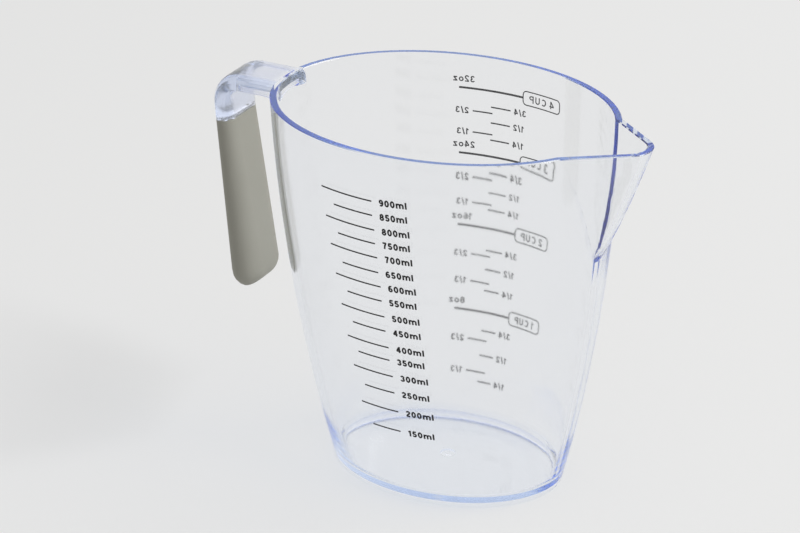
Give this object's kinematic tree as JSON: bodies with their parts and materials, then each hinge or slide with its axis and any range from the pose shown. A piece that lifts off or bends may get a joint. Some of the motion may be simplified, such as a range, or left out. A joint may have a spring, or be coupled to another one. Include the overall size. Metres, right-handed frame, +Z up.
{
  "type": "measuring jug",
  "caption": "Clear oval measuring jug with a V-shaped pouring spout, printed volume scales on two sides and a clear handle hooked over the rim that carries a soft grey grip.",
  "frame": {"origin": "middle of the base, on the plane that the jug stands on", "axes": "+Z up, +X towards the spout, -X towards the handle, -Y towards the millilitre scale"},
  "size_m": [0.1755, 0.0992, 0.146],
  "materials": {
    "clear_plastic": "gloss",
    "grip_rubber": "matte",
    "scale_ink": "matte"
  },
  "bodies": {
    "root": {"jug_body": "clear_plastic", "grip_sleeve": "grip_rubber", "ml_hundred_lines": "scale_ink", "ml_fifty_lines": "scale_ink", "cup_lines": "scale_ink", "cup_frames": "scale_ink", "quarter_cup_lines": "scale_ink", "third_cup_lines": "scale_ink"}
  },
  "joints": []
}
